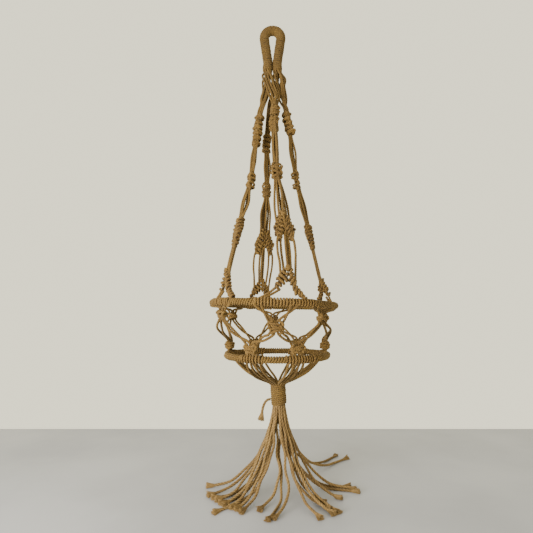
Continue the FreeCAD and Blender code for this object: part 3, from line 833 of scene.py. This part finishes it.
# ------------------------------------------------------------------------ arms
# top is where an arm leaves the neck.  azimuth is the side that the arm hangs on, and
# turn how far its knots face away from it.  foot holds the azimuths of its two feet on
# the upper ring, and leg is -1 or 1 for the leg of the loop that it comes out of.  The
# knots, from the top down, each have a name, a centre, half a length and half a width.
# hang is half the width over which the lowest stretch's six cords hang, and flare how
# far towards its feet on the ring the lowest knot's roofs reach.  fan_out is how much
# the cords spread on their way down to the leaf, and squeeze how far they draw together
# where they enter a knot.  neck is where the first and the last cord pass along X, and
# all six along Y, at each of NECK_DEPTHS.
ARMS = {
    "front": {"top": (4, -15), "azimuth": 12, "turn": 0, "foot": (-12, 26), "hang": 16,
              "flare": 0.42, "fan_out": 2.9, "squeeze": 0.95, "leg": -1,
              "neck": [(-21, -1, -9), (-14, 7, -14), (-5, 13, -16)], "knots": [
        ("berry", (3, -13, -203), 29, 9.5), ("square", (6.5, -45, -331), 16, 11),
        ("leaf", (19, -78, -449), 30, 21), ("ring", (25, -107, -541), 13, 12)]},
    "left": {"top": (-18, -6), "azimuth": -52, "turn": -20, "foot": (-61, -37), "hang": 10,
             "flare": 0.42, "fan_out": 1.3, "squeeze": 0.68, "leg": -1,
             "neck": [(-20, -2, 4), (-22, -6, 1), (-27, -14, -4)],
             "knots": [
        ("berry", (-31, -9, -228), 35, 10), ("square", (-44, -27, -345), 17, 10),
        ("leaf", (-68, -44, -452), 29, 16), ("ring", (-86, -64, -542), 14, 12)]},
    "right": {"top": (20, 4), "azimuth": 112, "turn": -30, "foot": (98, 125), "hang": 9,
              "flare": 0.6, "fan_out": 1.2, "squeeze": 0.68, "leg": 1,
              "neck": [(1, 23, -6), (7, 26, -5), (17, 30, 0)],
              "knots": [
        ("berry", (33, 4, -206), 27, 10), ("square", (49, 17, -327), 20, 10),
        ("leaf", (79, 30, -448), 27, 16), ("ring", (103, 41, -550), 13, 12)]},
    "rear": {"top": (-3, 14), "azimuth": 193, "turn": 0, "foot": (181, 207), "hang": 21,
             "flare": 0.75, "fan_out": 2.8, "squeeze": 0.75, "leg": 1,
             "neck": [(27, 4, 6), (20, -2, 10), (9, -10, 14)],
             "knots": [
        ("berry", (-13, 20, -241), 20, 9.0), ("square", (-12.5, 47, -337), 15, 9.5),
        ("leaf", (-18, 79, -448), 28, 25), ("ring", (-24, 106, -543), 13, 12)]},
}
ARMS_TOP = -136.0       # depth of each arm's top
CORDS_PER_ARM = 6
NECK_JOINT = -112.0     # the loose neck strands are cut here, between its two joints
# Radius and azimuth of each of the twelve cords in one leg of the loop.
LEG_PACKING = [(2.8, 90 + 120 * k) for k in range(3)] + [(7.4, 40 * k) for k in range(9)]
# The six cords of an arm, across it and out of it, gathered and in its lowest stretch.
ARM_PACKING = [(-4.9, -2.0), (-2.5, 2.2), (0, -2.2), (2.5, 2.2), (4.9, -2.0), (0.2, 6.2)]
LOW_HANG = (-1.0, -0.55, -0.05, 0.42, 1.0, 0.18)    # as shares of an arm's hang
NECK_DEPTHS = (-102, -128, -155)
NECK_ORDER = (0, 1, 2, 4, 5, 3)     # of the six cords across the neck


def roof_point(plan, apex, aside):
    """The point of the upper row of the lowest knot's roof at a distance to one side."""
    foot = ring_point("upper", plan["foot"][int(aside > 0)], FOOT_RISE)
    reach = foot - apex
    spread = plan["flare"] - FIRST_ROW_IN
    share = min(abs(aside) / (np.linalg.norm(reach[:2]) * spread), 1.1)
    return apex + reach * (share * spread, share * spread, FIRST_ROW_LOW * share)


def strand_route(plan, j, leg_place):
    """One cord of an arm: out of the loop's leg, down the arm to its lowest knot."""
    sideways, outwards = ARM_PACKING[j]
    azimuth = plan["azimuth"]
    leg_middle = point(plan["leg"] * LOOP_LEG_X, 0, 0)
    packed = polar(*LEG_PACKING[leg_place], 0)
    route = [leg_middle + packed + (0, 0, -68), leg_middle + packed + (0, 0, -86)]
    for (first, final, y), depth in zip(plan["neck"], NECK_DEPTHS):
        x = first + (final - first) * NECK_ORDER[j] / (CORDS_PER_ARM - 1)
        route.append(point(x, y + 1.6 * (-1) ** j, depth) + noise.normal(0, 0.9, 3))
    last, last_half = point(*plan["top"], ARMS_TOP), 0.0
    for number, (kind, centre, half, _) in enumerate(plan["knots"]):
        here = point(*centre)
        direction = unit(here - last)
        across, facing = arm_axes(direction, azimuth + plan["turn"])
        length = np.linalg.norm(here - last) - last_half - half
        loose = across * np.sign(sideways) * abs(noise.normal(0, 1.6)) + facing * noise.normal(0, 1)
        if kind == "ring":
            wide = LOW_HANG[j] * plan["hang"]
            stops = [(-0.12, wide * 0.85), (0.10, wide), (0.5, wide * 1.02), (0.85, wide * 0.9)]
            for share, out in stops:
                route.append(last + direction * (last_half + share * length) + across * out
                             + facing * 1.5 * (-1) ** j)
            route.append(roof_point(plan, here - direction * half * 0.9, wide * 0.85))
            break
        fan_out = plan["fan_out"] if kind == "leaf" else 1.0
        for share in ((0.85,) if number == 0 else (0.06, 0.5, 0.94)):
            base = last + direction * (last_half + share * length)
            tight = {0.5: 1.0, 0.85: 0.9}.get(share, plan["squeeze"])
            offset = (across * sideways * (1 + (fan_out - 1) * share) + facing * outwards) * tight
            route.append(base + offset + loose * (share == 0.5))
        spread = fan_out * 0.85 if kind == "leaf" else plan["squeeze"]
        route.append(here + across * sideways * spread + facing * outwards * plan["squeeze"])
        last, last_half = here, half
    return smooth(route)


def make_arm(arm, plan, neck_yarn, first_place):
    strands = Yarn()
    for j in range(CORDS_PER_ARM):
        path = strand_route(plan, j, first_place + j)
        cut = int(np.argmax(path[:, 2] < NECK_JOINT))
        neck_yarn.cord(path[: cut + 1])
        strands.cord(path[cut:])
    piece = strands.piece(f"arm_{arm}_strands", cord_jute)
    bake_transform(piece)
    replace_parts(piece, f"arm_{arm}_cords")
    upper, lower, ring = Yarn(), Yarn(), Yarn()
    last = point(*plan["top"], ARMS_TOP)
    for kind, centre, half, width in plan["knots"]:
        here = point(*centre)
        direction = unit(here - last)
        across, facing = arm_axes(direction, plan["azimuth"] + plan["turn"])
        if kind == "berry":
            berry(upper, here, direction, across, facing, half, width)
        elif kind == "square":
            for shift in (-0.52, 0.52):
                square_knot(upper, here + direction * half * shift, direction, across, facing,
                            (width - CORD, SQUARE_THICK, half * 0.46))
        elif kind == "leaf":
            leaf(lower, here, direction, across, facing, half, width)
        else:
            feet = [ring_point("upper", azimuth, FOOT_RISE) for azimuth in plan["foot"]]
            fan(ring, here - direction * half * 0.9, feet, facing, plan["flare"])
        last = here
    for yarn, name, node_name in ((upper, "upper_knotting", "upper_knots"),
                                  (lower, "leaf_knotting", "leaf_knot"),
                                  (ring, "ring_knotting", "ring_knot")):
        piece = yarn.piece(f"arm_{arm}_{name}", knot_jute)
        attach(piece, "hanger")
        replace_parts(piece, f"arm_{arm}_{node_name}")


def make_arms():
    neck = Yarn()
    places = {1: 0, -1: 0}
    for arm, plan in ARMS.items():
        make_arm(arm, plan, neck, places[plan["leg"]])
        places[plan["leg"]] += CORDS_PER_ARM
    piece = neck.piece("neck_strands", cord_jute)
    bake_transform(piece)
    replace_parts(piece, "neck_cords")


# ------------------------------------------------------------------------- net
UPPER_KNOT_INSET = 8.0         # of the upper knots inside the ring's circle
LOWER_KNOT_RISE = 17.5         # of the lower knots above the lower ring
NET_KNOT = (9.8, 6.5, 6.8)     # half width, half thickness and half height
SIDE_NET_KNOT = (9.5, 6.5, 6.0)
LOW_NET_KNOT = (9.2, 6.0, 4.6)
DOWN = point(0, 0, -1)


def make_net():
    strands, upper_knots, lower_knots = Yarn(), Yarn(), Yarn()
    tops = [ring_point("upper", az, -drop, UPPER_KNOT_INSET) for az, drop in NET_UPPER]
    lows = [ring_point("lower", az, LOWER_KNOT_RISE) for az in NET_LOWER]
    for i, (azimuth, _) in enumerate(NET_UPPER):
        out, along = polar(1, azimuth, 0), polar(1, azimuth + 90, 0)
        for side in (-1, 1):
            k = i if side < 0 else (i + 1) % 6
            low_azimuth = NET_LOWER[k] + 360 * (NET_LOWER[k] < azimuth - 180)
            low_out, low_along = polar(1, low_azimuth, 0), polar(1, low_azimuth + 90, 0)
            for twin in (0, 1):
                start = azimuth + side * (NET_SPLAY + 2.5 - 5 * twin)
                shift = along * side * (2.5 + 4.6 * twin)
                low_shift = -low_along * side * (2.5 + 4.6 * twin)
                at_side = abs(math.sin(math.radians((azimuth + low_azimuth) / 2))) ** 4
                bulge = abs(noise.normal(0, 2.5)) + 2.5 + at_side * (5 + 8 * twin)
                middle = (tops[i] + lows[k]) / 2 + out * bulge + DOWN * (3.5 - 7 * twin)
                foot = ring_point("lower", NET_LOWER[k] - side * (3 + 6 * twin), 4)
                strands.cord(smooth([
                    ring_point("upper", start, 0, -3), ring_point("upper", start, -7, -3),
                    tops[i] + shift * 2.0 - DOWN * 13 + out, tops[i] + shift * 1.2 - DOWN * 5,
                    tops[i] + shift * 1.2 + DOWN * 5, tops[i] + shift * 1.9 + DOWN * 12 + out,
                    middle, lows[k] + low_shift * 1.9 - DOWN * 12 + low_out,
                    lows[k] + low_shift * 1.1, lows[k] + low_shift * 1.4 + DOWN * 12, foot]))
        halves, cords = (NET_KNOT, 2) if i == 0 else (SIDE_NET_KNOT, 1)
        square_knot(upper_knots, tops[i], DOWN, along, out, halves, cords)
    for low, azimuth in zip(lows, NET_LOWER):
        out, along = polar(1, azimuth, 0), polar(1, azimuth + 90, 0)
        square_knot(lower_knots, low, DOWN, along, out, LOW_NET_KNOT, 2)
    for yarn, name, material, slot, nodes in (
            (strands, "net_strands", cord_jute, "jute_cord",
             ("net_upper_cords", "net_middle_cords")),
            (upper_knots, "net_upper_knotting", knot_jute, "jute_knots", ("net_upper_knots",))):
        piece = yarn.piece(name, material)
        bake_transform(piece)
        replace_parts(piece, *nodes)
    piece = lower_knots.piece("net_lower_knotting", knot_jute)
    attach(piece, "basket")
    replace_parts(piece, "net_lower_knots")


# ------------------------------------------------------- base cords, gathering
GATHER_TOP = -743.0
GATHER_FOOT = -781.0
GATHER_RADIUS = 15.2    # over the winding
GATHER_PITCH = 3.7
GATHER_CORD = 1.95
GATHER_FILLING = 12.6
BASE_CORDS_APART = 15   # degrees, where they enter the gathering


def make_base():
    yarn = Yarn()
    starts = sorted(az + step for az in (a % 360 for a in NET_LOWER) for step in (-9, -3, 3, 9))
    for n, azimuth in enumerate(starts):
        end = BASE_CORDS_APART * n + 3
        turn = (end - azimuth + 180) % 360 - 180
        sag = noise.normal(0, 2.0)
        tuck = abs(math.sin(math.radians(azimuth))) ** 4    # the side cords leave inside
        # radius, share of the turn, depth, and the middle it is measured from
        stops = ((95 - 7 * tuck, 0, -684, 7), (92 - 7 * tuck, 0, -694 + 2 * tuck, 7),
                 (82 - 6 * tuck, 0.1, -708.5 + 5 * tuck - sag / 2, 7),
                 (60 - 3 * tuck, 0.3, -723 + 4 * tuck - sag, 7.5),
                 (36, 0.6, -732.5 + 1.5 * tuck - sag / 2, 8), (18, 1, -739.5, 8.5),
                 (11.5, 1, -746, 8.7), (9.4, 1, -756, 9))
        yarn.cord(smooth([polar(radius, azimuth + turn * share, z, (middle, 0))
                          for radius, share, z, middle in stops]))
    piece = yarn.piece("base_strands", cord_jute)
    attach(piece, "basket")
    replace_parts(piece, "basket_base_cords", "gathered_cords")
    wrap = Yarn()
    line = straight_line(point(8.6, 0, GATHER_TOP + 1), point(11, 0, GATHER_FOOT + 1),
                         point(0, -1, 0))
    wrap.cord(coil(line, GATHER_RADIUS - GATHER_CORD, GATHER_PITCH, lean=0.8, uneven=0.25),
              GATHER_CORD, wound=True, tint=0.7)
    wrap.filling(line, GATHER_FILLING, inset=5)
    piece = wrap.piece("gathering_winding", wound_jute)
    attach(piece, "basket")
    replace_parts(piece, "gathering_wrap")


hanging_loop()
wound_ring("upper", ARM_HITCHES)
wound_ring("lower", LOWER_HITCHES)
make_arms()
make_net()
make_base()
